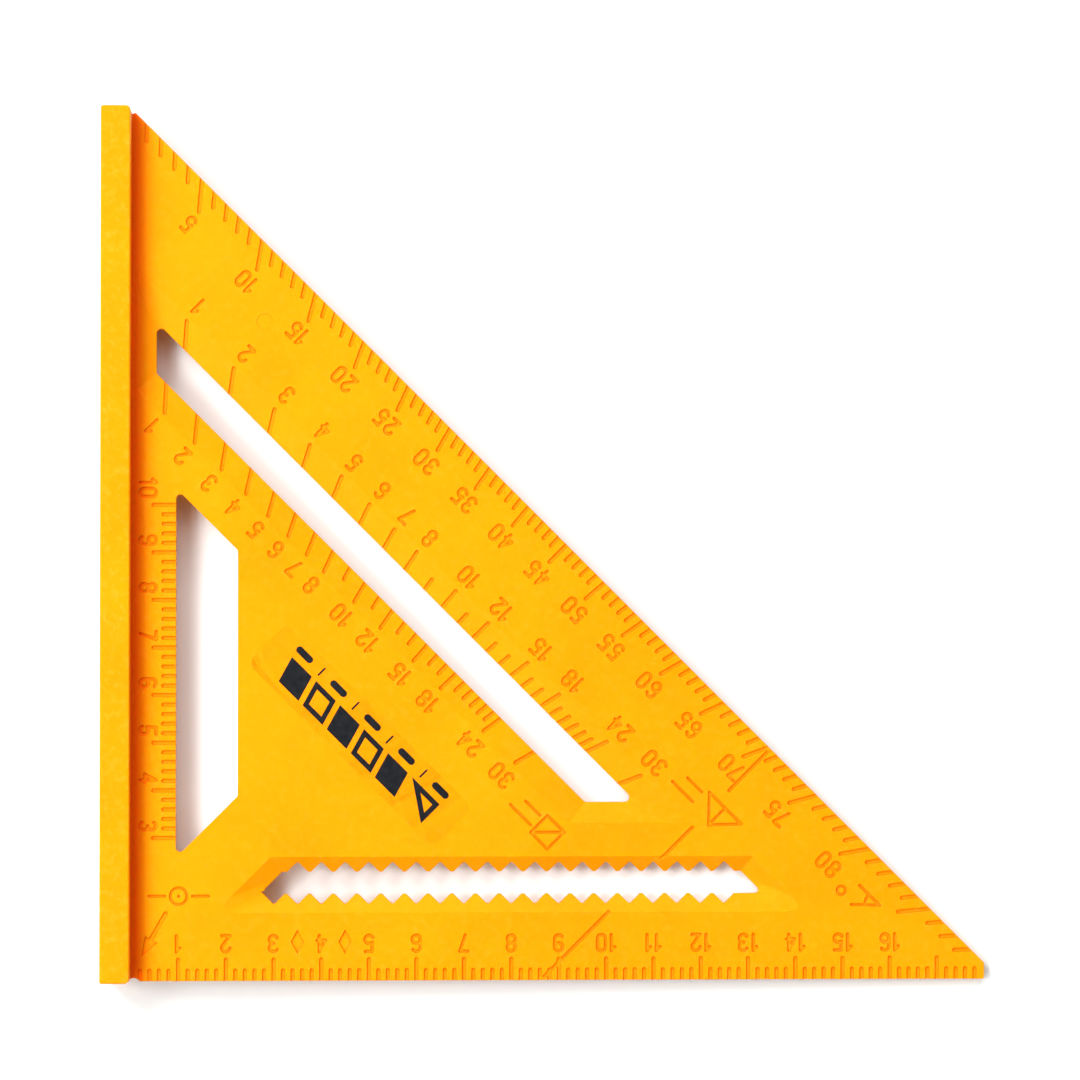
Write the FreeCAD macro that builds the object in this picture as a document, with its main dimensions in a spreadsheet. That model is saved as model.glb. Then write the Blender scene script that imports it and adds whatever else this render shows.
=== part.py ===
import FreeCAD, Part

import math
import os

import Sketcher

# Speed square (rafter angle square), 18 cm metric pattern, moulded in plastic.
# Working frame: the pivot corner is the origin, +X runs along the ruler edge to the tip, +Y along
# the fence and +Z is square to the blade, whose middle plane is Z = 0. Every finished piece is
# then placed so that the middle of the whole square's lowest face is the origin.

SIZES = {
    # triangular blade
    "blade_leg": 183.4,
    "blade_reach": 180.0,
    "blade_thickness": 3.2,
    "tip_radius": 0.5,
    "root_radius": 0.8,
    "root_end_gap": 1.1,
    # fence, standing proud of both faces
    "fence_thickness": 6.2,
    "fence_height": 19.0,
    "fence_edge_radius": 0.35,
    "fence_corner_radius": 0.5,
    "fence_inner_radius": 1.0,
    # half-round pivot notch
    "notch_x": 0.6,
    "notch_y": -0.85,
    "notch_radius": 1.55,
    # hand slot, ends at 45 degrees
    "hand_left": 9.4,
    "hand_right": 22.4,
    "hand_low": 25.8,
    "hand_high": 103.5,
    "hand_radius": 0.9,
    # diagonal slot: its long sides are the lines X + Y = diagonal_low and X + Y = diagonal_high
    "diagonal_low": 132.95,
    "diagonal_high": 143.8,
    "diagonal_left": 5.2,
    "diagonal_bottom": 37.4,
    "diagonal_radius": 1.0,
    "diagonal_recess_low": 125.1,
    "diagonal_recess_high": 151.7,
    "diagonal_recess_left": 0.9,
    "diagonal_recess_bottom": 33.1,
    "diagonal_recess_depth": 1.4,
    # serrated slot: its ends are the lines X - Y = serrated_left and X + Y = serrated_right
    "serrated_bottom": 18.1,
    "serrated_top": 22.8,
    "serrated_left": 8.9,
    "serrated_right": 151.4,
    "serrated_radius": 0.7,
    "serrated_recess_bottom": 14.3,
    "serrated_recess_top": 26.0,
    "serrated_recess_left": 3.3,
    "serrated_recess_right": 156.9,
    "serrated_recess_depth": 1.9,
    "recess_reach": 1.25,
    "recess_ridge_radius": 4.5,
    # pencil notches on both sides of the serrated slot
    "pencil_pitch": 5.0,
    "pencil_depth": 2.0,
    "pencil_radius": 0.45,
    "pencil_overlap": 0.6,
    "pencil_upper_first": 35.0,
    "pencil_upper_count": 19,
    "pencil_lower_first": 30.0,
    "pencil_lower_count": 20,
    # sunken marks
    "mark_depth": 0.35,
    "mark_width": 0.85,
    "mark_overrun": 0.8,
    "digit_height": 4.05,
    "digit_stroke": 0.68,
    "digit_gap": 0.55,
    # signs that name the pivot and the scales: middle and height of each
    "sign_stroke": 0.6,
    "pivot_sign_x": 10.1,
    "pivot_sign_y": 17.8,
    "pivot_sign_height": 4.1,
    "degree_sign_x": 153.2,
    "degree_sign_y": 17.1,
    "degree_sign_height": 5.0,
    "common_sign_x": 120.9,
    "common_sign_y": 36.85,
    "common_sign_height": 5.6,
    "hip_sign_x": 85.1,
    "hip_sign_y": 33.6,
    "hip_sign_height": 5.6,
    # arrow that points at the pivot
    "arrow_tip_x": 2.3,
    "arrow_tip_y": 5.2,
    "arrow_tail_x": 7.35,
    "arrow_tail_y": 14.1,
    "arrow_width": 1.0,
    "arrow_head_length": 4.1,
    "arrow_head_width": 2.95,
    # stud-spacing diamonds on the ruler
    "diamond_first": 35.0,
    "diamond_pitch": 10.0,
    "diamond_count": 2,
    "diamond_y": 8.2,
    "diamond_width": 2.8,
    "diamond_height": 5.0,
    # round witness left by an ejector pin
    "witness_x": 28.0,
    "witness_y": 138.7,
    "witness_radius": 1.7,
    "witness_depth": 0.06,
    # ruler along the bottom edge, from the pivot
    "tick_pitch": 2.0,
    "ruler_tick_count": 89,
    "ruler_short": 2.6,
    "ruler_long": 4.9,
    "ruler_number_y": 7.8,
    "ruler_last_number": 16,
    # ruler beside the hand slot
    "side_first": 30.0,
    "side_tick_count": 36,
    "side_short": 3.0,
    "side_long": 5.1,
    "side_number_x": 3.6,
    "side_number_lead": 2.57,
    "side_number_lead_two": 3.6,
    # degree scale: depths are square to the sloping edge
    "degree_count": 88,
    "degree_short": 2.9,
    "degree_long": 5.6,
    "degree_number_gap": 3.05,
    "degree_last_number": 80,
    # rafter scales on the diagonal slot: rise over a run of 12, and over 12 times the root of 2
    "rafter_run": 12.0,
    "hip_run": 16.97,
    "rafter_short": 3.0,
    "rafter_long": 4.9,
    "rafter_number_gap": 3.6,
    # layout line square to the sloping edge: X - Y = seat_offset
    "seat_offset": 86.2,
    "seat_width": 0.75,
    "seat_inner_start": 25.2,
    "seat_inner_end": 32.0,
    "seat_outer_start": 39.8,
    # adhesive label
    "label_length": 55.0,
    "label_width": 12.0,
    "label_radius": 2.0,
    "label_thickness": 0.12,
    "label_x": 48.1,
    "label_y": 51.6,
    "label_turn": 135.0,
    "print_thickness": 0.03,
    "print_height": 5.6,
    "print_y": 1.3,
    "print_left": -22.2,
    "print_icon_width": 8.2,
    "print_frame": 1.1,
    "print_block_width": 5.9,
    "print_block_gap": 1.25,
    "print_block_count": 5,
    "print_slant": 1.6,
    "print_row_y": -3.7,
    "print_row_pitch": 10.1,
    "print_row_count": 5,
    "print_dash_length": 4.4,
    "print_dash_height": 1.5,
    "print_bar_height": 2.3,
    "print_bar_width": 0.4,
}

UP = FreeCAD.Vector(0, 0, 1)
DIAGONAL = math.sqrt(2)
LOOSE_RADIUS = 100.0


def make_sheet(doc):
    """Spreadsheet with one named cell for each driving size."""
    sheet = doc.addObject("Spreadsheet::Sheet", "Sizes")
    for row, (alias, value) in enumerate(SIZES.items(), start=1):
        sheet.set(f"A{row}", alias)
        sheet.set(f"B{row}", str(value))
        sheet.setAlias(f"B{row}", alias)
    doc.recompute()
    return sheet


def size(sheet, alias):
    return float(getattr(sheet, alias))


def at(x, y, z=0.0):
    return FreeCAD.Vector(x, y, z)


def polar(centre, radius, angle):
    return centre + at(radius * math.cos(angle), radius * math.sin(angle))


# ---------------------------------------------------------------- sketch and feature helpers


def origin_plane(body, role):
    return next(item for item in body.Origin.OriginFeatures if item.Role == role)


def new_sketch(body, name, role="XY_Plane", lift=None):
    sketch = body.newObject("Sketcher::SketchObject", name)
    sketch.AttachmentSupport = (origin_plane(body, role), [""])
    sketch.MapMode = "FlatFace"
    if lift:
        sketch.setExpression("AttachmentOffset.Base.z", lift)
    return sketch


def pin_vertex(sketch, edge, end, x_size, y_size):
    """Fix one vertex of a sketch at a place worked out from the sheet."""
    drawn = sketch.getPoint(edge, end)
    for kind, axis, distance, expression in (
        ("DistanceX", -2, drawn.x, x_size),
        ("DistanceY", -1, drawn.y, y_size),
    ):
        if expression == "0":
            sketch.addConstraint(Sketcher.Constraint("PointOnObject", edge, end, axis))
            continue
        index = sketch.addConstraint(Sketcher.Constraint(kind, -1, 1, edge, end, distance))
        sketch.setExpression(f"Constraints[{index}]", expression)


def pin_radius(sketch, edge, radius):
    index = sketch.addConstraint(Sketcher.Constraint("Radius", edge, sketch.Geometry[edge].Radius))
    sketch.setExpression(f"Constraints[{index}]", radius)


def polygon_sketch(body, name, corners, role="XY_Plane", lift=None):
    """Closed outline of straight sides; each corner is a pair of expressions on the sheet."""
    sketch = new_sketch(body, name, role, lift)
    count = len(corners)
    loose = [polar(at(0, 0), LOOSE_RADIUS, 2 * math.pi * i / count) for i in range(count)]
    sides = [Part.LineSegment(loose[i], loose[(i + 1) % count]) for i in range(count)]
    sketch.addGeometry(sides, False)
    for i in range(count):
        sketch.addConstraint(Sketcher.Constraint("Coincident", i, 2, (i + 1) % count, 1))
    for i, (x_size, y_size) in enumerate(corners):
        pin_vertex(sketch, i, 1, x_size, y_size)
    return sketch


def pad(body, name, sketch, length, both_ways=False, backwards=False):
    feature = body.newObject("PartDesign::Pad", name)
    feature.Profile = (sketch, [""])
    feature.setExpression("Length", length)
    feature.Midplane = both_ways
    feature.Reversed = backwards
    return feature


def pocket_through(body, name, sketch):
    """Pocket that runs right through, both ways from the square's middle plane."""
    feature = body.newObject("PartDesign::Pocket", name)
    feature.Profile = (sketch, [""])
    feature.Type = "Length"
    feature.Midplane = True
    feature.setExpression("Length", "Sizes.fence_height * 2")
    return feature


def upright_edges(shape, places, reach=0.05):
    """Names of the edges parallel to Z that stand at the given places."""
    names = []
    for number, edge in enumerate(shape.Edges, start=1):
        first, last = edge.Vertexes[0].Point, edge.Vertexes[-1].Point
        upright = math.hypot(last.x - first.x, last.y - first.y) < reach and abs(last.z - first.z) > reach
        if upright and any(math.hypot(first.x - x, first.y - y) < reach for x, y in places):
            names.append(f"Edge{number}")
    return names


def ridge_edges(shape, places, reach=0.05):
    """Names of the sloping edges that start at the given places."""
    names = []
    for number, edge in enumerate(shape.Edges, start=1):
        ends = [edge.Vertexes[0].Point, edge.Vertexes[-1].Point]
        slopes = abs(ends[0].z - ends[1].z) > reach
        if slopes and any(math.hypot(p.x - x, p.y - y) < reach for p in ends for x, y in places):
            names.append(f"Edge{number}")
    return names


def rim_edges(shape, level, reach=0.01):
    """Names of the edges that lie in the planes Z = level and Z = -level."""
    names = []
    for number, edge in enumerate(shape.Edges, start=1):
        box = edge.BoundBox
        if box.ZLength < reach and abs(abs(box.ZMax) - level) < reach:
            names.append(f"Edge{number}")
    return names


def mirror_to_both_faces(doc, body, name, feature):
    """Repeat a feature on the other side of the square's middle plane."""
    both = body.newObject("PartDesign::Mirrored", name)
    both.Originals = [feature]
    both.MirrorPlane = (origin_plane(body, "XY_Plane"), [""])
    body.Tip = both
    doc.recompute()
    return both


def round_uprights(doc, body, name, base, places, radius):
    doc.recompute()
    feature = body.newObject("PartDesign::Fillet", name)
    feature.Base = (base, upright_edges(base.Shape, places))
    feature.setExpression("Radius", radius)
    return feature


# ---------------------------------------------------------------- blade moulding

DIAGONAL_SLOT = [
    ("Sizes.diagonal_left", "Sizes.diagonal_low - Sizes.diagonal_left"),
    ("Sizes.diagonal_low - Sizes.diagonal_bottom", "Sizes.diagonal_bottom"),
    ("Sizes.diagonal_high - Sizes.diagonal_bottom", "Sizes.diagonal_bottom"),
    ("Sizes.diagonal_left", "Sizes.diagonal_high - Sizes.diagonal_left"),
]
DIAGONAL_RECESS = [
    ("Sizes.diagonal_recess_left", "Sizes.diagonal_recess_low - Sizes.diagonal_recess_left"),
    ("Sizes.diagonal_recess_low - Sizes.diagonal_recess_bottom", "Sizes.diagonal_recess_bottom"),
    ("Sizes.diagonal_recess_high - Sizes.diagonal_recess_bottom", "Sizes.diagonal_recess_bottom"),
    ("Sizes.diagonal_recess_left", "Sizes.diagonal_recess_high - Sizes.diagonal_recess_left"),
]
SERRATED_SLOT = [
    ("Sizes.serrated_left + Sizes.serrated_bottom", "Sizes.serrated_bottom"),
    ("Sizes.serrated_right - Sizes.serrated_bottom", "Sizes.serrated_bottom"),
    ("Sizes.serrated_right - Sizes.serrated_top", "Sizes.serrated_top"),
    ("Sizes.serrated_left + Sizes.serrated_top", "Sizes.serrated_top"),
]
SERRATED_RECESS = [
    ("Sizes.serrated_recess_left + Sizes.serrated_recess_bottom", "Sizes.serrated_recess_bottom"),
    ("Sizes.serrated_recess_right - Sizes.serrated_recess_bottom", "Sizes.serrated_recess_bottom"),
    ("Sizes.serrated_recess_right - Sizes.serrated_recess_top", "Sizes.serrated_recess_top"),
    ("Sizes.serrated_recess_left + Sizes.serrated_recess_top", "Sizes.serrated_recess_top"),
]
HAND_SLOT = [
    ("Sizes.hand_left", "Sizes.hand_low"),
    ("Sizes.hand_right", "Sizes.hand_low + Sizes.hand_right - Sizes.hand_left"),
    ("Sizes.hand_right", "Sizes.hand_high - Sizes.hand_right + Sizes.hand_left"),
    ("Sizes.hand_left", "Sizes.hand_high"),
]


def slot(doc, body, name, corners, radius):
    """Straight-sided slot through the blade, with its corners rounded."""
    sketch = polygon_sketch(body, f"{name}_sketch", corners)
    feature = pocket_through(body, f"{name}_pocket", sketch)
    doc.recompute()
    places = [(line.StartPoint.x, line.StartPoint.y) for line in sketch.Geometry]
    return round_uprights(doc, body, f"{name}_corners", feature, places, radius)


def sloped_recess(doc, body, name, rim, slot_corners, depth, acute):
    """Slope all round a slot, from its rim on the printed face down to the slot's edge.

    The slope is carried recess_reach times as far as the slot's edge, so that its rounded
    corners are sloped too. The valleys that run out from the rim's acute corners are rounded."""
    floor = [
        (
            f"({rx}) + Sizes.recess_reach * (({sx}) - ({rx}))",
            f"({ry}) + Sizes.recess_reach * (({sy}) - ({ry}))",
        )
        for (rx, ry), (sx, sy) in zip(rim, slot_corners)
    ]
    face = "Sizes.blade_thickness / 2"
    upper = polygon_sketch(body, f"{name}_rim", rim, lift=face)
    lower = polygon_sketch(body, f"{name}_floor", floor, lift=f"{face} - {depth} * Sizes.recess_reach")
    doc.recompute()
    loft = body.newObject("PartDesign::SubtractiveLoft", f"{name}_slope")
    loft.Profile = (upper, [""])
    loft.Sections = [(lower, [""])]
    loft.Ruled = True
    doc.recompute()
    base = loft
    for corner in acute:
        start = upper.Geometry[corner].StartPoint
        base = round_ridge(doc, body, name, base, [(start.x, start.y)])


def round_ridge(doc, body, name, base, place):
    """Round the first sloping edge that still starts at a place."""
    ridge = body.newObject("PartDesign::Fillet", f"{name}_ridge")
    ridge.Base = (base, ridge_edges(base.Shape, place)[:1])
    ridge.setExpression("Radius", "Sizes.recess_ridge_radius")
    doc.recompute()
    return ridge


def pencil_notches(doc, body, name, first, edge, outward, count):
    """Row of 45-degree notches with rounded ends, cut from one long edge of the serrated slot.

    outward is +1 for the edge away from the ruler and -1 for the one beside it."""
    away, back = ("+", "-") if outward > 0 else ("-", "+")
    rounded = "Sizes.pencil_radius * (1 - 1 / sqrt(2))"
    turn_half = "Sizes.pencil_radius / sqrt(2)"
    mouth_half = f"({turn_half} + Sizes.pencil_depth + Sizes.pencil_overlap - {rounded})"
    turn_y = f"({edge}) {away} (Sizes.pencil_depth - {rounded})"
    mouth_y = f"({edge}) {back} Sizes.pencil_overlap"

    radius, depth, overlap = (SIZES[f"pencil_{word}"] for word in ("radius", "depth", "overlap"))
    middle, level = SIZES[first.split(".")[1]], SIZES[edge.split(".")[1]]
    flank = depth - radius * (1 - 1 / DIAGONAL)
    half_turn = radius / DIAGONAL
    half_mouth = half_turn + flank + overlap
    left_turn, right_turn = (at(middle + s * half_turn, level + outward * flank) for s in (-1, 1))
    left_mouth, right_mouth = (at(middle + s * half_mouth, level - outward * overlap) for s in (-1, 1))
    circle = Part.Circle(at(middle, level + outward * (depth - radius)), UP, radius)
    start = math.radians(45 if outward > 0 else 225)
    sides = [
        Part.LineSegment(left_mouth, right_mouth),
        Part.LineSegment(right_mouth, right_turn),
        Part.ArcOfCircle(circle, start, start + math.pi / 2),
        Part.LineSegment(left_turn, left_mouth),
    ]
    sketch = new_sketch(body, f"{name}_sketch")
    sketch.addGeometry(sides, False)
    right_end, left_end = (1, 2) if outward > 0 else (2, 1)
    for joint in ((0, 2, 1, 1), (1, 2, 2, right_end), (2, left_end, 3, 1), (3, 2, 0, 1)):
        sketch.addConstraint(Sketcher.Constraint("Coincident", *joint))
    pin_vertex(sketch, 0, 1, f"{first} - {mouth_half}", mouth_y)
    pin_vertex(sketch, 0, 2, f"{first} + {mouth_half}", mouth_y)
    pin_vertex(sketch, 1, 2, f"{first} + {turn_half}", turn_y)
    pin_vertex(sketch, 3, 1, f"{first} - {turn_half}", turn_y)
    pin_radius(sketch, 2, "Sizes.pencil_radius")
    single = pocket_through(body, f"{name}_first", sketch)
    doc.recompute()
    row = body.newObject("PartDesign::LinearPattern", f"{name}_row")
    row.Originals = [single]
    row.Direction = (sketch, ["H_Axis"])
    row.setExpression("Occurrences", count)
    row.setExpression("Length", f"Sizes.pencil_pitch * ({count} - 1)")
    body.Tip = row
    doc.recompute()


def pivot_notch(body):
    """Half-round notch at the pivot corner; the blade and the fence each hold a part of it."""
    sketch = new_sketch(body, "notch_sketch")
    centre = at(SIZES["notch_x"], SIZES["notch_y"])
    sketch.addGeometry(Part.Circle(centre, UP, SIZES["notch_radius"]), False)
    pin_vertex(sketch, 0, 3, "Sizes.notch_x", "Sizes.notch_y")
    pin_radius(sketch, 0, "Sizes.notch_radius")
    return pocket_through(body, "notch_pocket", sketch)


def make_blade_moulding(doc):
    body = doc.addObject("PartDesign::Body", "blade_moulding")
    outline = polygon_sketch(
        body,
        "outline_sketch",
        [
            ("Sizes.root_radius", "0"),
            ("Sizes.blade_reach", "0"),
            ("Sizes.blade_reach", "Sizes.blade_leg - Sizes.blade_reach"),
            ("Sizes.root_radius", "Sizes.blade_leg - Sizes.root_radius"),
        ],
    )
    plate = pad(body, "plate", outline, "Sizes.blade_thickness", both_ways=True)
    tip_x = SIZES["blade_reach"]
    tip = [(tip_x, 0.0), (tip_x, SIZES["blade_leg"] - tip_x)]
    round_uprights(doc, body, "tip_corners", plate, tip, "Sizes.tip_radius")
    slot(doc, body, "hand_slot", HAND_SLOT, "Sizes.hand_radius")
    slot(doc, body, "diagonal_slot", DIAGONAL_SLOT, "Sizes.diagonal_radius")
    slot(doc, body, "serrated_slot", SERRATED_SLOT, "Sizes.serrated_radius")
    doc.recompute()
    diagonal = (DIAGONAL_RECESS, DIAGONAL_SLOT, "Sizes.diagonal_recess_depth", (2, 3))
    serrated = (SERRATED_RECESS, SERRATED_SLOT, "Sizes.serrated_recess_depth", (0, 1))
    sloped_recess(doc, body, "diagonal_recess", *diagonal)
    sloped_recess(doc, body, "serrated_recess", *serrated)
    upper = ("Sizes.pencil_upper_first", "Sizes.serrated_top", 1, "Sizes.pencil_upper_count")
    lower = ("Sizes.pencil_lower_first", "Sizes.serrated_bottom", -1, "Sizes.pencil_lower_count")
    pencil_notches(doc, body, "upper_notch", *upper)
    pencil_notches(doc, body, "lower_notch", *lower)
    pivot_notch(body)
    doc.recompute()
    return body


# ---------------------------------------------------------------- stroke figures and signs

# Each figure or sign is drawn on its centre lines, one unit high, after its width. A stroke is
# a run of points or an arc: centre x and y, radius, first and last angle in degrees, anticlockwise.
ARC = "arc"
GLYPHS = {
    "0": (0.5, [
        (ARC, 0.25, 0.75, 0.25, 0, 180), [(0, 0.75), (0, 0.25)],
        (ARC, 0.25, 0.25, 0.25, 180, 360), [(0.5, 0.25), (0.5, 0.75)],
    ]),
    "1": (0.22, [[(0, 0.76), (0.22, 1), (0.22, 0)]]),
    "2": (0.5, [(ARC, 0.25, 0.75, 0.25, -37, 175), [(0.45, 0.6), (0, 0), (0.5, 0)]]),
    "3": (0.5, [(ARC, 0.25, 0.75, 0.25, -90, 150), (ARC, 0.25, 0.25, 0.25, -150, 90)]),
    "4": (0.5, [[(0.37, 0), (0.37, 1), (0, 0.3), (0.5, 0.3)]]),
    "5": (0.5, [[(0.46, 1), (0.05, 1), (0.0256, 0.454)], (ARC, 0.22, 0.26, 0.26, -150, 135)]),
    "6": (0.5, [
        (ARC, 0.25, 0.25, 0.25, 0, 180), (ARC, 0.25, 0.25, 0.25, 180, 360),
        [(0, 0.25), (0, 0.75)], (ARC, 0.25, 0.75, 0.25, 35, 180),
    ]),
    "7": (0.5, [[(0, 1), (0.5, 1), (0.16, 0)]]),
    "8": (0.5, [
        (ARC, 0.25, 0.75, 0.25, -90, 90), (ARC, 0.25, 0.75, 0.25, 90, 270),
        (ARC, 0.25, 0.25, 0.25, -90, 90), (ARC, 0.25, 0.25, 0.25, 90, 270),
    ]),
    "9": (0.5, [
        (ARC, 0.25, 0.75, 0.25, 0, 180), (ARC, 0.25, 0.75, 0.25, 180, 360),
        [(0.5, 0.75), (0.5, 0.25)], (ARC, 0.25, 0.25, 0.25, 215, 360),
    ]),
    "bar": (0.95, [[(0, 0.5), (0.95, 0.5)]]),
    "pivot": (1.0, [
        (ARC, 0.5, 0.5, 0.5, 0, 180), (ARC, 0.5, 0.5, 0.5, 180, 360), [(0.49, 0.5), (0.51, 0.5)],
    ]),
    "angle": (1.35, [[(1.35, 0), (0, 0), (1.0, 0.94)], (ARC, 0, 0, 0.72, 0, 43)]),
    "degree": (0.4, [(ARC, 0.2, 0.8, 0.2, 0, 180), (ARC, 0.2, 0.8, 0.2, 180, 360)]),
    "gable": (1.9, [[(0.95, 1), (0, 0), (1.9, 0), (0.95, 1), (0.95, 0)]]),
    "hip": (1.0, [[(0, 0), (1, 0), (1, 1), (0, 1), (0, 0), (1, 1)]]),
    "lines": (1.2, [[(0, 0.78), (1.2, 0.78)], [(0, 0.22), (0.85, 0.22)]]),
}


def arc_edge(centre, radius, first, last):
    """Arc from one angle to another, anticlockwise, in radians."""
    return Part.Arc(polar(centre, radius, first), polar(centre, radius, (first + last) / 2),
                    polar(centre, radius, last)).toShape()


def outline_face(points):
    return Part.Face(Part.makePolygon([*points, points[0]]))


def line_stroke(start, finish, width):
    """Flat stroke with round ends."""
    half = width / 2
    heading = math.atan2(finish.y - start.y, finish.x - start.x)
    left, right = heading + math.pi / 2, heading - math.pi / 2
    edges = [
        arc_edge(finish, half, right, left),
        Part.LineSegment(polar(finish, half, left), polar(start, half, left)).toShape(),
        arc_edge(start, half, left, left + math.pi),
        Part.LineSegment(polar(start, half, right), polar(finish, half, right)).toShape(),
    ]
    return Part.Face(Part.Wire(Part.__sortEdges__(edges)))


def arc_stroke(centre, radius, first, last, width):
    """Flat curved stroke with round ends."""
    half = width / 2
    outer, inner = radius + half, radius - half
    head, tail = polar(centre, radius, last), polar(centre, radius, first)
    edges = [
        arc_edge(centre, outer, first, last),
        arc_edge(head, half, last, last + math.pi),
        arc_edge(centre, inner, first, last),
        arc_edge(tail, half, first + math.pi, first + 2 * math.pi),
    ]
    return Part.Face(Part.Wire(Part.__sortEdges__(edges)))


def glyph_face(name, height, stroke):
    """One figure or sign as flat faces, its centre lines height - stroke high."""
    scale = height - stroke
    pieces = []
    for part in GLYPHS[name][1]:
        if part[0] == ARC:
            _, x, y, radius, first, last = part
            pieces.append(arc_stroke(at(x * scale, y * scale), radius * scale,
                                     math.radians(first), math.radians(last), stroke))
        else:
            points = [at(x * scale, y * scale) for x, y in part]
            pieces += [line_stroke(a, b, stroke) for a, b in zip(points, points[1:])]
    return pieces[0] if len(pieces) == 1 else pieces[0].fuse(pieces[1:]).removeSplitter()


class Marks:
    """Tools for the sunken marks on one face of the blade, drawn as seen from above.

    On the lower face the figures are mirrored, so that they read correctly from below."""

    def __init__(self, sheet, lower):
        self.sheet = sheet
        self.lower = lower
        self.solids = []
        self.glyphs = {}

    def size(self, alias):
        return size(self.sheet, alias)

    def sizes(self, *aliases):
        return [self.size(alias) for alias in aliases]

    def sink(self, face, depth=None, tilt=None):
        """Turn a flat face into a cutter that reaches below the blade's surface."""
        depth = depth or self.size("mark_depth")
        top = self.size("blade_thickness") / 2
        cutter = face.extrude(at(0, 0, depth + self.size("mark_overrun")))
        cutter.translate(at(0, 0, top - depth))
        if tilt:
            base, axis, angle = tilt
            cutter.rotate(base + at(0, 0, top), axis, angle)
        if self.lower:
            cutter = cutter.mirror(at(0, 0), UP)
        self.solids.append(cutter)

    def stroke(self, start, finish, width=None, tilt=None):
        self.sink(line_stroke(start, finish, width or self.size("mark_width")), tilt=tilt)

    def glyph(self, name, height, stroke):
        key = (name, height, stroke)
        if key not in self.glyphs:
            self.glyphs[key] = glyph_face(name, height, stroke)
        return self.glyphs[key].copy()

    def row(self, names, centre, turn, height, stroke):
        """Figures or signs in a row, centred on a point and turned anticlockwise in degrees."""
        scale = height - stroke
        widths = [GLYPHS[name][0] * scale for name in names]
        gap = stroke + self.size("digit_gap")
        left = -(sum(widths) + gap * (len(names) - 1)) / 2
        for name, width in zip(names, widths):
            face = self.glyph(name, height, stroke)
            face.translate(at(left, -scale / 2))
            if self.lower:
                face = face.mirror(at(0, 0), at(1, 0))
            face.rotate(at(0, 0), UP, turn)
            face.translate(centre)
            self.sink(face)
            left += width + gap

    def number(self, value, centre, turn):
        self.row(str(value), centre, turn, *self.sizes("digit_height", "digit_stroke"))


def ruler_marks(marks):
    """Two-millimetre ruler on the bottom edge, read from the pivot with the fence at the top."""
    pitch, short, long, width, overrun, number_y = marks.sizes(
        "tick_pitch", "ruler_short", "ruler_long", "mark_width", "mark_overrun", "ruler_number_y"
    )
    last = marks.size("ruler_last_number") + 1
    for step in range(1, int(marks.size("ruler_tick_count")) + 1):
        x = step * pitch
        number = x / 10
        deep = number == int(number) and number <= last
        marks.stroke(at(x, -overrun), at(x, (long if deep else short) - width / 2))
        if deep and number < last:
            marks.number(int(number), at(x, number_y), 180)


def side_marks(marks):
    """Two-millimetre ruler on the fence side of the hand slot."""
    edge, first, pitch, short, long, width, overrun, number_x = marks.sizes(
        "hand_left", "side_first", "tick_pitch", "side_short", "side_long", "mark_width", "mark_overrun",
        "side_number_x",
    )
    for step in range(int(marks.size("side_tick_count"))):
        y = first + step * pitch
        deep = y % 10 == 0
        marks.stroke(at(edge - (long if deep else short) + width / 2, y), at(edge + overrun, y))
        if deep:
            number = int(y / 10)
            lead = marks.size("side_number_lead" if number < 10 else "side_number_lead_two")
            marks.number(number, at(number_x, y + lead), -90)


def ray_stroke(marks, angle, near_line, far_line, round_end, tilt=None):
    """Stroke along a ray from the pivot between two lines X + Y = near_line and X + Y = far_line.

    The angle is in radians from the fence; round_end names the end that lies on the face.
    The result is the two places where the ray crosses the lines."""
    slope = math.sin(angle) + math.cos(angle)
    along = at(math.sin(angle), math.cos(angle))
    half = marks.size("mark_width") / 2
    near, far = near_line / slope, far_line / slope
    start = near + (half if round_end == "near" else 0)
    finish = far - (half if round_end == "far" else 0)
    marks.stroke(along * start, along * finish, tilt=tilt)
    return along * near, along * far


def degree_marks(marks):
    """One-degree rays on the sloping edge, measured from the fence, numbered every five."""
    leg, short, long, overrun, gap = marks.sizes(
        "blade_leg", "degree_short", "degree_long", "mark_overrun", "degree_number_gap"
    )
    inward = at(-1 / DIAGONAL, -1 / DIAGONAL)
    for degree in range(1, int(marks.size("degree_count")) + 1):
        deep = degree % 5 == 0
        start = leg - (long if deep else short) * DIAGONAL
        inner, _ = ray_stroke(marks, math.radians(degree), start, leg + overrun * DIAGONAL, "near")
        if deep and degree <= marks.size("degree_last_number"):
            marks.number(degree, inner + inward * gap, 135)


RAFTER_NUMBERS = (1, 2, 3, 4, 5, 6, 7, 8, 10, 12, 15, 18, 24, 30)
RAFTER_TICKS = (9, 11, 13, 14, 16, 17, 19, 20, 21, 22, 23)


def rafter_marks(marks, run, edge, rim, side):
    """Rafter scale on one slope of the diagonal slot: side is +1 on the outer one, -1 on the inner."""
    short, long, overrun, gap = marks.sizes(
        "rafter_short", "rafter_long", "mark_overrun", "rafter_number_gap"
    )
    drop = math.atan(marks.size("diagonal_recess_depth") * DIAGONAL / abs(rim - edge))
    tilt = (at(rim, 0), at(-1, 1), -math.degrees(drop) * side)
    outward = at(side / DIAGONAL, side / DIAGONAL)
    for number in RAFTER_NUMBERS + RAFTER_TICKS:
        numbered = number in RAFTER_NUMBERS
        depth = long if numbered else short
        lines = sorted((edge - overrun * DIAGONAL * side, edge + depth * DIAGONAL * side))
        round_end = "far" if side > 0 else "near"
        near, far = ray_stroke(marks, math.atan(number / run), *lines, round_end, tilt)
        if numbered:
            marks.number(number, (far if side > 0 else near) + outward * gap, 135)


SIGNS = (
    ("pivot_sign", ("bar", "pivot", "bar"), 180),
    ("degree_sign", ("angle", "degree"), 135),
    ("common_sign", ("gable", "lines"), 135),
    ("hip_sign", ("hip", "lines"), 135),
)


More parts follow.
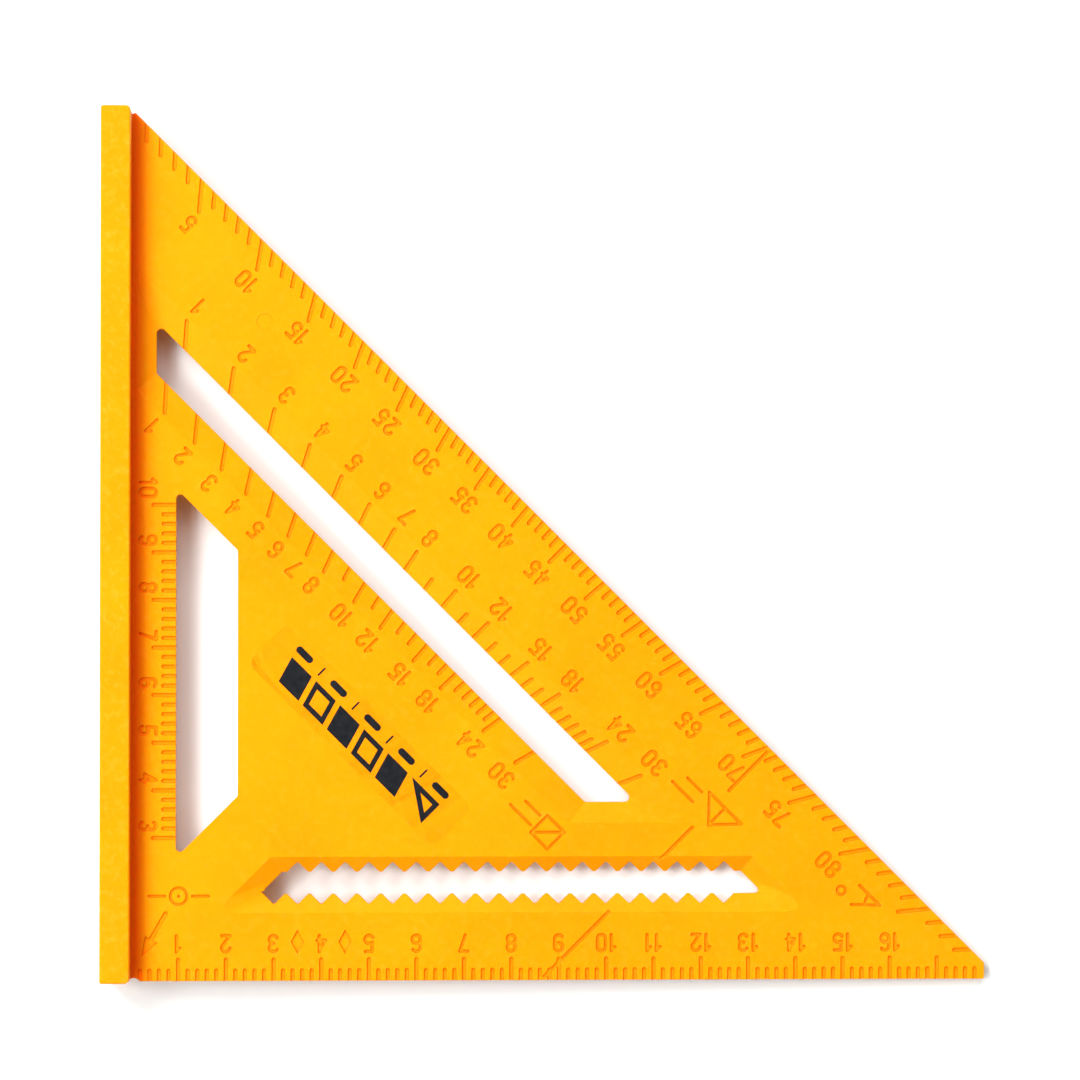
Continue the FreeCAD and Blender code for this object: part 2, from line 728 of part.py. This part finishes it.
def sign_marks(marks):
    """Plain signs for the pivot, the degree scale and the common and hip rafter scales."""
    for place, names, turn in SIGNS:
        x, y, height = marks.sizes(f"{place}_x", f"{place}_y", f"{place}_height")
        marks.row(names, at(x, y), turn, height, marks.size("sign_stroke"))


def arrow_mark(marks):
    """Arrow from the pivot's sign to the pivot corner."""
    tip = at(*marks.sizes("arrow_tip_x", "arrow_tip_y"))
    tail = at(*marks.sizes("arrow_tail_x", "arrow_tail_y"))
    length, width = marks.sizes("arrow_head_length", "arrow_head_width")
    heading = math.atan2(tail.y - tip.y, tail.x - tip.x)
    neck = polar(tip, length, heading)
    wings = [polar(neck, width / 2, heading + turn) for turn in (-math.pi / 2, math.pi / 2)]
    marks.stroke(tail, neck, marks.size("arrow_width"))
    marks.sink(outline_face([tip, *wings]))


def diamond_marks(marks):
    first, pitch, y, width, height = marks.sizes(
        "diamond_first", "diamond_pitch", "diamond_y", "diamond_width", "diamond_height"
    )
    for step in range(int(marks.size("diamond_count"))):
        x = first + step * pitch
        corners = [at(x - width / 2, y), at(x, y - height / 2), at(x + width / 2, y), at(x, y + height / 2)]
        marks.sink(outline_face(corners))


def seat_marks(marks):
    """Layout line square to the sloping edge, broken where it crosses the two recesses."""
    offset, width, overrun, leg = marks.sizes("seat_offset", "seat_width", "mark_overrun", "blade_leg")
    inner_start, inner_end, outer_start, bottom = marks.sizes(
        "seat_inner_start", "seat_inner_end", "seat_outer_start", "serrated_recess_bottom"
    )
    edge = (leg - offset) / 2
    for low, high in ((-overrun, bottom), (inner_start, inner_end), (outer_start, edge + overrun)):
        marks.stroke(at(low + offset, low), at(high + offset, high), width)


def ejector_witness(marks):
    """Shallow round witness left by an ejector pin."""
    x, y, radius, depth = marks.sizes("witness_x", "witness_y", "witness_radius", "witness_depth")
    disc = Part.Face(Part.Wire(Part.Circle(at(x, y), UP, radius).toShape()))
    marks.sink(disc, depth)


def upper_marks(sheet):
    """Every mark of the printed face."""
    marks = Marks(sheet, lower=False)
    ruler_marks(marks)
    side_marks(marks)
    degree_marks(marks)
    rafter_marks(marks, *marks.sizes("rafter_run", "diagonal_high", "diagonal_recess_high"), 1)
    rafter_marks(marks, *marks.sizes("hip_run", "diagonal_low", "diagonal_recess_low"), -1)
    sign_marks(marks)
    arrow_mark(marks)
    diamond_marks(marks)
    seat_marks(marks)
    ejector_witness(marks)
    return marks.solids


def lower_marks(sheet):
    """The rulers, the degree scale and the layout line again, readable from below."""
    marks = Marks(sheet, lower=True)
    ruler_marks(marks)
    side_marks(marks)
    degree_marks(marks)
    seat_marks(marks)
    return marks.solids


# ---------------------------------------------------------------- fence and label


def blade_root(doc, body):
    """Root of the blade on the fence's inner side, as wide as its fillets, which run out from it."""
    outline = [
        ("0", "0"),
        ("Sizes.root_radius", "0"),
        ("Sizes.root_radius", "Sizes.blade_leg - Sizes.root_radius"),
        ("0", "Sizes.blade_leg - Sizes.fence_inner_radius"),
    ]
    plan = polygon_sketch(body, "root_outline", outline)
    pad(body, "root", plan, "Sizes.blade_thickness", both_ways=True)
    sketch = new_sketch(body, "fillet_section", "XZ_Plane")
    half, radius = SIZES["blade_thickness"] / 2, SIZES["root_radius"]
    corner, foot, head = at(0, half), at(radius, half), at(0, half + radius)
    arc = Part.ArcOfCircle(Part.Circle(at(radius, half + radius), UP, radius), math.pi, 1.5 * math.pi)
    sketch.addGeometry([Part.LineSegment(corner, foot), arc, Part.LineSegment(head, corner)], False)
    for first, first_end, second, second_end in ((0, 2, 1, 2), (1, 1, 2, 1), (2, 2, 0, 1)):
        sketch.addConstraint(Sketcher.Constraint("Coincident", first, first_end, second, second_end))
    pin_vertex(sketch, 0, 1, "0", "Sizes.blade_thickness / 2")
    pin_vertex(sketch, 0, 2, "Sizes.root_radius", "Sizes.blade_thickness / 2")
    pin_vertex(sketch, 2, 1, "0", "Sizes.blade_thickness / 2 + Sizes.root_radius")
    pin_radius(sketch, 1, "Sizes.root_radius")
    strip = pad(body, "root_fillet", sketch, "Sizes.blade_leg - Sizes.root_end_gap", backwards=True)
    doc.recompute()
    mirror_to_both_faces(doc, body, "root_fillets", strip)


def make_fence(doc):
    """Flange that stands proud of both faces, with eased edges, the blade's root and the notch."""
    body = doc.addObject("PartDesign::Body", "fence_body")
    half = "Sizes.fence_height / 2"
    section = [
        ("-Sizes.fence_thickness", f"-{half}"),
        ("0", f"-{half}"),
        ("0", half),
        ("-Sizes.fence_thickness", half),
    ]
    sketch = polygon_sketch(body, "fence_section", section, "XZ_Plane")
    bar = pad(body, "fence_bar", sketch, "Sizes.blade_leg", backwards=True)
    outer, length = -SIZES["fence_thickness"], SIZES["blade_leg"]
    ends = [(outer, 0.0), (outer, length)]
    outer_round = round_uprights(doc, body, "outer_corners", bar, ends, "Sizes.fence_corner_radius")
    inner = [(0.0, length)]
    inner_round = round_uprights(doc, body, "inner_corner", outer_round, inner, "Sizes.fence_inner_radius")
    doc.recompute()
    eased = body.newObject("PartDesign::Fillet", "eased_rims")
    eased.Base = (inner_round, rim_edges(inner_round.Shape, SIZES["fence_height"] / 2))
    eased.setExpression("Radius", "Sizes.fence_edge_radius")
    doc.recompute()
    blade_root(doc, body)
    pivot_notch(body)
    doc.recompute()
    return body


def make_label_film(doc):
    """Thin adhesive label with rounded corners, drawn about its own middle."""
    body = doc.addObject("PartDesign::Body", "label_film_body")
    reach, rise = "Sizes.label_length / 2", "Sizes.label_width / 2"
    corners = [(f"-{reach}", f"-{rise}"), (reach, f"-{rise}"), (reach, rise), (f"-{reach}", rise)]
    sheet_pad = pad(body, "film", polygon_sketch(body, "film_outline", corners), "Sizes.label_thickness")
    half_length, half_width = SIZES["label_length"] / 2, SIZES["label_width"] / 2
    places = [(x, y) for x in (-half_length, half_length) for y in (-half_width, half_width)]
    round_uprights(doc, body, "film_corners", sheet_pad, places, "Sizes.label_radius")
    doc.recompute()
    return body


def slanted_block(left, low, width, height, slant):
    """Parallelogram on a level base, with its top shifted left by slant."""
    base = [at(left + slant, low), at(left + slant + width, low)]
    top = [at(left + width, low + height), at(left, low + height)]
    return outline_face(base + top)


def triangle_frame(left, low, width, height, band):
    """Right triangle with its square corner at the lower left, drawn as an even band."""
    corners = [at(left, low), at(left + width, low), at(left, low + height)]
    inradius = (width + height - math.hypot(width, height)) / 2
    middle = at(left + inradius, low + inradius)
    inner = [middle + (corner - middle) * (1 - band / inradius) for corner in corners]
    return outline_face(corners).cut(outline_face(inner))


def printed_mark(sheet):
    """Plain emblem: a framed triangle, then slanted blocks, every second one hollow."""
    names = ("print_left", "print_y", "print_height", "print_icon_width", "print_frame", "print_slant",
             "print_block_width", "print_block_gap")
    left, middle, height, icon, band, slant, width, gap = (size(sheet, name) for name in names)
    low = middle - height / 2
    faces = [triangle_frame(left, low, icon, height, band)]
    start = left + icon + gap - slant
    for block in range(int(size(sheet, "print_block_count"))):
        x = start + block * (width + gap)
        face = slanted_block(x, low, width, height, slant)
        if block % 2:
            hole_height = height - 2 * band
            hole_slant = slant * hole_height / height
            hole_left = x + band + (slant - hole_slant) / 2
            hole = slanted_block(hole_left, low + band, width - 2 * band, hole_height, hole_slant)
            face = face.cut(hole)
        faces.append(face)
    return faces


def printed_row(sheet):
    """Row of dashes with upright bars between them, under the emblem."""
    names = ("print_row_y", "print_row_pitch", "print_row_count", "print_dash_length", "print_dash_height",
             "print_bar_height", "print_bar_width")
    y, pitch, count, dash, thick, bar, thin = (size(sheet, name) for name in names)
    reach, rise = (dash - thick) / 2, (bar - thin) / 2
    faces = []
    for place in range(int(count)):
        x = (place - (count - 1) / 2) * pitch
        faces.append(line_stroke(at(x - reach, y), at(x + reach, y), thick))
        if place:
            faces.append(line_stroke(at(x - pitch / 2, y - rise), at(x - pitch / 2, y + rise), thin))
    return faces


def make_label_print(doc, sheet):
    """The label's ink, one thin solid for each printed shape."""
    faces = printed_mark(sheet) + printed_row(sheet)
    feature = doc.addObject("Part::Feature", "label_print")
    depth = at(0, 0, size(sheet, "print_thickness"))
    feature.Shape = Part.Compound([face.extrude(depth) for face in faces])
    return feature


def make_blade(doc, sheet):
    """The blade moulding with the sunken marks cut into its two faces."""
    moulding = make_blade_moulding(doc)
    cutters = doc.addObject("Part::Feature", "mark_cutters")
    cutters.Shape = Part.Compound(upper_marks(sheet) + lower_marks(sheet))
    blade = doc.addObject("Part::Cut", "blade")
    blade.Base = moulding
    blade.Tool = cutters
    return blade


# ---------------------------------------------------------------- placing, checking and writing

ROW_ORIGIN = (
    "-(Sizes.blade_reach - Sizes.fence_thickness) / 2",
    "-Sizes.blade_leg / 2",
    "Sizes.fence_height / 2",
)


def place(piece, offset=("0", "0", "0"), turn=None):
    """Move a finished piece from the working frame to the row's frame."""
    if turn:
        piece.Placement = FreeCAD.Placement(at(0, 0), FreeCAD.Rotation(UP, 1.0))
        piece.setExpression("Placement.Rotation.Angle", turn)
    for axis, origin, extra in zip("xyz", ROW_ORIGIN, offset):
        piece.setExpression(f"Placement.Base.{axis}", f"{origin} + {extra}")


def check(doc, pieces):
    for item in doc.Objects:
        if "Invalid" in item.State or "Error" in item.State:
            raise RuntimeError(f"{item.Name} did not recompute: {item.State}")
    for name, piece in pieces.items():
        if piece.Shape.isNull() or not piece.Shape.isValid() or not piece.Shape.Solids:
            raise RuntimeError(f"{name} has no valid solid")


def main():
    doc = FreeCAD.newDocument("speed_square")
    sheet = make_sheet(doc)
    face = "Sizes.blade_thickness / 2"
    label_place = ("Sizes.label_x", "Sizes.label_y", face)
    print_place = ("Sizes.label_x", "Sizes.label_y", f"{face} + Sizes.label_thickness")
    pieces = {
        "fence": make_fence(doc),
        "label_film": make_label_film(doc),
        "label_print": make_label_print(doc, sheet),
        "blade": make_blade(doc, sheet),
    }
    place(pieces["fence"])
    place(pieces["label_film"], label_place, "Sizes.label_turn")
    place(pieces["label_print"], print_place, "Sizes.label_turn")
    place(pieces["blade"])
    for name, piece in pieces.items():
        piece.Label = name
    doc.recompute()
    check(doc, pieces)
    os.makedirs("parts", exist_ok=True)
    for name, piece in pieces.items():
        piece.Shape.exportStep(f"parts/{name}.step")
        box = piece.Shape.BoundBox
        print(name, len(piece.Shape.Solids), "solid", round(piece.Shape.Volume, 1), "mm3", box)


main()
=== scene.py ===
"""Looks of the speed square: moulded yellow plastic, clear label film and its print."""

import math

import bpy
from mathutils import Matrix, Vector


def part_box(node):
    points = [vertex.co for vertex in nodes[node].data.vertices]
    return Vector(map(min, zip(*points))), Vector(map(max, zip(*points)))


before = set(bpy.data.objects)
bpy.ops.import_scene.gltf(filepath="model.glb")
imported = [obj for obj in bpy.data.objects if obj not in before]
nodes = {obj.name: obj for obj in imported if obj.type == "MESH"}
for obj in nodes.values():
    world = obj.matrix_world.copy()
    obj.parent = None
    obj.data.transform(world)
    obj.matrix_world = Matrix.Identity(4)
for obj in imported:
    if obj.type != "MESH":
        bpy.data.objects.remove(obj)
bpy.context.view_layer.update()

MM = 0.001

fence_low, fence_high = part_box("fence")
blade_low, blade_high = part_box("blade")
ROOT_REACH = 0.8 * MM                        # how far the fence's root reaches into the blade
PIVOT_X = fence_high.x - ROOT_REACH          # the fence's inner face, where the ruler starts
TIP_X = blade_high.x
BLADE_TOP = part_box("label_film")[0].z
BLADE_UNDER = fence_high.z - BLADE_TOP
BLADE_MIDDLE = (BLADE_TOP + BLADE_UNDER) / 2
BLADE_HALF = (BLADE_TOP - BLADE_UNDER) / 2
SEAM_X = blade_low.x                         # where the blade meets the fence's root


# Painted shade makes the foot of the fence deep orange this far out, and it ends at the second
# distance.
FOOT_SHADE_FULL = 0.9 * MM
FOOT_SHADE_REACH = 3.3 * MM
EDGE_SAMPLES = 6


# ---------------------------------------------------------------- node helpers


class Shader:
    """A material's node tree, with one short call for each kind of node."""

    def __init__(self, name):
        self.material = bpy.data.materials.new(name)
        self.material.use_nodes = True
        self.tree = self.material.node_tree
        self.tree.nodes.clear()
        self.output = self.tree.nodes.new("ShaderNodeOutputMaterial")
        self.surface = self.tree.nodes.new("ShaderNodeBsdfPrincipled")
        self.link(self.surface.outputs[0], self.output.inputs["Surface"])
        self.place = self.tree.nodes.new("ShaderNodeNewGeometry").outputs["Position"]

    def link(self, source, target):
        self.tree.links.new(source, target)

    def feed(self, socket, value):
        if isinstance(value, bpy.types.NodeSocket):
            self.link(value, socket)
        else:
            socket.default_value = value

    def set(self, **values):
        for name, value in values.items():
            self.feed(self.surface.inputs[name.replace("_", " ")], value)

    def noise(self, size, detail, rough, distort=0.0):
        """Noise whose features are about size metres across; returns a 0 to 1 value."""
        scale = self.tree.nodes.new("ShaderNodeVectorMath")
        scale.operation = "MULTIPLY"
        self.link(self.place, scale.inputs[0])
        scale.inputs[1].default_value = [1 / size] * 3
        node = self.tree.nodes.new("ShaderNodeTexNoise")
        node.inputs["Scale"].default_value = 1.0
        node.inputs["Detail"].default_value = detail
        node.inputs["Roughness"].default_value = rough
        node.inputs["Distortion"].default_value = distort
        self.link(scale.outputs[0], node.inputs["Vector"])
        return node.outputs["Fac"]

    def remap(self, value, low, high, out_low, out_high):
        """Value carried from one range to another, held at the ends."""
        node = self.tree.nodes.new("ShaderNodeMapRange")
        for socket, number in zip(node.inputs[1:5], (low, high, out_low, out_high)):
            socket.default_value = number
        self.link(value, node.inputs[0])
        return node.outputs[0]

    def math(self, kind, first, second):
        node = self.tree.nodes.new("ShaderNodeMath")
        node.operation = kind
        self.feed(node.inputs[0], first)
        self.feed(node.inputs[1], second)
        return node.outputs[0]

    def mix(self, factor, first, second, blend="MIX"):
        node = self.tree.nodes.new("ShaderNodeMix")
        node.data_type = "RGBA"
        node.blend_type = blend
        self.feed(node.inputs[0], factor)
        self.feed(node.inputs[6], first)
        self.feed(node.inputs[7], second)
        return node.outputs[2]

    def distance(self, axis, place):
        """Signed distance past a place along X or Z, in metres."""
        node = self.tree.nodes.new("ShaderNodeSeparateXYZ")
        self.link(self.place, node.inputs[0])
        return self.math("SUBTRACT", node.outputs[axis], place)

    def soft_edges(self, radius):
        """Normal with its edges rounded, except where the blade and the fence meet flush."""
        node = self.tree.nodes.new("ShaderNodeBevel")
        node.samples = EDGE_SAMPLES
        node.inputs["Radius"].default_value = radius
        flat = self.tree.nodes.new("ShaderNodeNewGeometry").outputs["Normal"]
        off_seam = self.math("ABSOLUTE", self.distance("X", SEAM_X), 0.0)
        join = self.tree.nodes.new("ShaderNodeMix")
        join.data_type = "VECTOR"
        self.link(self.remap(off_seam, 1.2 * radius, 2.0 * radius, 0.0, 1.0), join.inputs[0])
        self.link(flat, join.inputs[4])
        self.link(node.outputs[0], join.inputs[5])
        return join.outputs[1]

    def hollows(self, reach):
        """1 in the open, less where the piece's own walls enclose it within reach metres."""
        node = self.tree.nodes.new("ShaderNodeAmbientOcclusion")
        node.samples = EDGE_SAMPLES
        node.only_local = True
        node.inputs["Distance"].default_value = reach
        return node.outputs["AO"]

    def painted_foot_shade(self):
        """Mask of painted shade: 1 at the foot of the fence, fading out across the blade and up
        the fence's wall.
        """
        past = self.distance("X", PIVOT_X)
        off_blade = self.math("ABSOLUTE", self.distance("Z", BLADE_MIDDLE), 0.0)
        inside = self.remap(past, -0.05 * MM, 0.0, 0.0, 1.0)
        low = self.remap(off_blade, BLADE_HALF + FOOT_SHADE_FULL, BLADE_HALF + FOOT_SHADE_REACH, 1.0, 0.0)
        wall = self.math("MULTIPLY", inside, low)
        return self.math("MULTIPLY", wall, self.remap(past, FOOT_SHADE_FULL, FOOT_SHADE_REACH, 1.0, 0.0))

    def bump(self, height, distance, normal):
        node = self.tree.nodes.new("ShaderNodeBump")
        node.inputs["Strength"].default_value = 1.0
        node.inputs["Distance"].default_value = distance
        self.link(height, node.inputs["Height"])
        self.link(normal, node.inputs["Normal"])
        return node.outputs[0]


def give(node_name, material):
    """Put a material on every slot of a CAD node."""
    mesh = nodes[node_name].data
    mesh.materials.clear()
    mesh.materials.append(material)


# ---------------------------------------------------------------- materials

YELLOW = (0.97, 0.330, 0.0018, 1)
PALE_YELLOW = (1.0, 0.420, 0.035, 1)
DEEP_YELLOW = (0.95, 0.290, 0.0012, 1)
# deep orange used only as painted shade, at the fence's foot and in the sunken marks
SHADE_ORANGE = (1.0, 0.050, 0.0005, 1)
GLINT = (1.0, 0.60, 0.06, 1)


def plastic(name, grain, sparkle, roughness):
    """Injection-moulded plastic: cloudy colour, fine grain and slightly uneven gloss.

    Painted shade makes it a deeper orange at the foot of the fence and inside the sunken marks."""
    s = Shader(name)
    clouds = s.noise(22 * MM, 3, 0.55)
    mottle = s.noise(1.6 * MM, 4, 0.6, distort=0.4)
    flecks = s.noise(0.55 * MM, 2, 0.6)
    colour = s.mix(s.remap(clouds, 0.35, 0.7, 0.0, 0.9), YELLOW, DEEP_YELLOW)
    colour = s.mix(s.remap(mottle, 0.5, 0.8, 0.0, sparkle), colour, PALE_YELLOW)
    colour = s.mix(s.remap(flecks, 0.62, 0.8, 0.0, sparkle), colour, PALE_YELLOW)
    # painted shade: deep orange at the fence's foot, where the fence shadows the blade
    colour = s.mix(s.math("MULTIPLY", s.painted_foot_shade(), 0.78), colour, SHADE_ORANGE)
    # painted shade: deep orange inside the sunken marks and other tight hollows of the piece
    colour = s.mix(s.remap(s.hollows(0.9 * MM), 0.45, 0.95, 0.62, 0.0), colour, SHADE_ORANGE)
    gloss = s.remap(mottle, 0.3, 0.75, roughness - 0.05, roughness + 0.08)
    fine = s.noise(0.32 * MM, 2, 0.6)
    swell = s.noise(5 * MM, 2, 0.5)
    edges = s.soft_edges(0.22 * MM)
    waved = s.bump(swell, 0.05 * MM, edges)
    s.set(Base_Color=colour, Roughness=gloss, Normal=s.bump(fine, grain, waved))
    s.surface.inputs["IOR"].default_value = 1.5
    s.surface.inputs["Specular IOR Level"].default_value = 0.3
    s.surface.inputs["Specular Tint"].default_value = GLINT
    s.surface.inputs["Subsurface Weight"].default_value = 0.35
    s.surface.inputs["Subsurface Radius"].default_value = (1.0, 0.3, 0.03)
    s.surface.inputs["Subsurface Scale"].default_value = 1.2 * MM
    return s.material


def clear_film():
    """Clear polyester film: nearly invisible, with a smoother gloss than the plastic."""
    s = Shader("clear_film")
    haze = s.noise(6 * MM, 2, 0.5)
    s.set(Base_Color=YELLOW, Roughness=s.remap(haze, 0.3, 0.7, 0.2, 0.3))
    s.surface.inputs["Alpha"].default_value = 0.05
    s.surface.inputs["Specular IOR Level"].default_value = 0.3
    s.surface.inputs["Specular Tint"].default_value = GLINT
    s.surface.inputs["IOR"].default_value = 1.45
    return s.material


def ink():
    """Near-black ink under the film, with a faint unevenness."""
    s = Shader("label_ink")
    patch = s.noise(1.2 * MM, 3, 0.6)
    shade = s.remap(patch, 0.3, 0.7, 0.0, 1.0)
    s.set(
        Base_Color=s.mix(shade, (0.006, 0.007, 0.009, 1), (0.012, 0.013, 0.016, 1)),
        Roughness=s.remap(patch, 0.3, 0.7, 0.28, 0.4),
    )
    s.surface.inputs["Specular IOR Level"].default_value = 0.12
    return s.material


give("blade", plastic("blade_plastic", grain=0.009 * MM, sparkle=0.26, roughness=0.40))
give("fence", plastic("fence_plastic", grain=0.018 * MM, sparkle=0.6, roughness=0.44))
give("label_film", clear_film())
give("label_print", ink())
for layer in ("label_film", "label_print"):
    nodes[layer].visible_shadow = False      # thin clear layers throw no shade on the blade


# ---------------------------------------------------------------- floor, light and camera

FLOOR_SIZE = 6.0
FLOOR_GAP = 0.05 * MM
REST_SLOPE = math.atan2(BLADE_UNDER - fence_low.z, TIP_X - PIVOT_X)


def make_floor():
    """Pale floor that the square rests on: its fence's lower inner edge and its tip touch it."""
    bpy.ops.mesh.primitive_plane_add(size=FLOOR_SIZE)
    floor = bpy.context.object
    floor.name = "floor"
    turn = Matrix.Rotation(-REST_SLOPE, 4, "Y")
    touch = Vector((PIVOT_X, 0, fence_low.z - FLOOR_GAP))
    floor.matrix_world = Matrix.Translation(touch) @ turn
    s = Shader("floor_paper")
    s.set(Base_Color=(0.87, 0.92, 0.925, 1), Roughness=0.9)
    s.surface.inputs["Specular IOR Level"].default_value = 0.1
    floor.data.materials.append(s.material)


# Soft round lamps: tilt from straight up, direction round Z from +X, share of the light.
LAMPS = (
    (32, 180, 0.48),
    (32, 135, 0.35),
    (32, 225, 0.20),
    (52, 135, 0.175),
    (52, 90, 0.155),
    (32, 90, 0.11),
    (16, 90, 0.07),
    (32, 0, 0.05),
)
SKY_STRENGTH = 0.15
LAMP_REACH = 1.6
LAMP_HALF_ANGLE = math.radians(10)


def make_lamp(tilt, turn, share):
    """Disk lamp aimed at the square, giving its share of a white floor's full brightness."""
    lean = Matrix.Rotation(math.radians(tilt), 3, "Y")
    towards = Matrix.Rotation(math.radians(turn), 3, "Z") @ lean
    lamp = bpy.data.lights.new(f"lamp_{tilt}_{turn}", "AREA")
    lamp.shape = "DISK"
    lamp.size = 2 * LAMP_REACH * math.tan(LAMP_HALF_ANGLE)
    lamp.energy = share * math.pi ** 2 * LAMP_REACH ** 2 / math.cos(math.radians(tilt))
    holder = bpy.data.objects.new(lamp.name, lamp)
    bpy.context.scene.collection.objects.link(holder)
    holder.location = towards @ Vector((0, 0, LAMP_REACH))
    holder.rotation_euler = towards.to_euler()


def make_world(strength):
    world = bpy.data.worlds.new("studio")
    world.use_nodes = True
    sky = world.node_tree.nodes["Background"]
    sky.inputs["Color"].default_value = (1, 1, 1, 1)
    sky.inputs["Strength"].default_value = strength
    bpy.context.scene.world = world


EYE = Vector((-0.0450, -0.0194, 1.0000))
AIM = Vector((-0.0009, 0.0010, BLADE_TOP))
SENSOR_WIDTH = 36                            # millimetres, like the focal length
FOCAL_LENGTH = 156.4


def make_camera():
    """Long lens almost square to the blade, from a little towards the fence."""
    back = (EYE - AIM).normalized()
    right = Vector((0, 1, 0)).cross(back).normalized()
    up = back.cross(right)
    camera = bpy.data.cameras.new("camera")
    camera.sensor_width = SENSOR_WIDTH
    camera.lens = FOCAL_LENGTH
    camera.clip_start = 0.01
    camera.clip_end = 20
    holder = bpy.data.objects.new("camera", camera)
    bpy.context.scene.collection.objects.link(holder)
    holder.matrix_world = Matrix.Translation(EYE) @ Matrix((right, up, back)).transposed().to_4x4()
    bpy.context.scene.camera = holder


make_floor()
make_world(SKY_STRENGTH)
for lamp in LAMPS:
    make_lamp(*lamp)
make_camera()
bpy.context.scene.view_settings.view_transform = "Standard"
